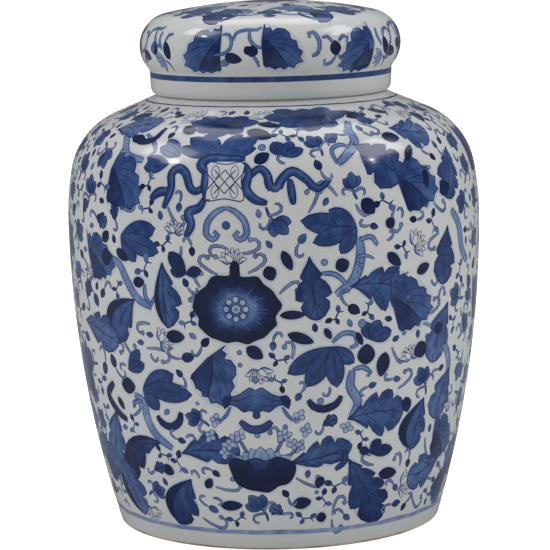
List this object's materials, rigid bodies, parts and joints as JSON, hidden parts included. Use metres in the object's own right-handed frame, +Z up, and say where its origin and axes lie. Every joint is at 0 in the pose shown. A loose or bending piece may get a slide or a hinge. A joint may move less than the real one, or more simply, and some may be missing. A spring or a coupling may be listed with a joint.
{
  "type": "ginger jar",
  "caption": "Round-shouldered porcelain jar on a foot ring, with a domed cap lid that lifts off its neck; blue-and-white floral painting.",
  "frame": {"origin": "centre of the foot ring, on the surface that the jar stands on", "axes": "+Z up along the axis that the jar and its lid are turned about; -Y towards the front of the painting"},
  "size_m": [0.203, 0.203, 0.2561],
  "materials": {
    "painted_porcelain": "gloss"
  },
  "bodies": {
    "jar": {"jar_body": "painted_porcelain"},
    "cap": {"lid": "painted_porcelain"}
  },
  "joints": [
    {"name": "lid_lift", "type": "slide", "parent": "jar", "child": "cap", "axis": [0, 0, 1], "range_m": [0, 0.06]}
  ]
}
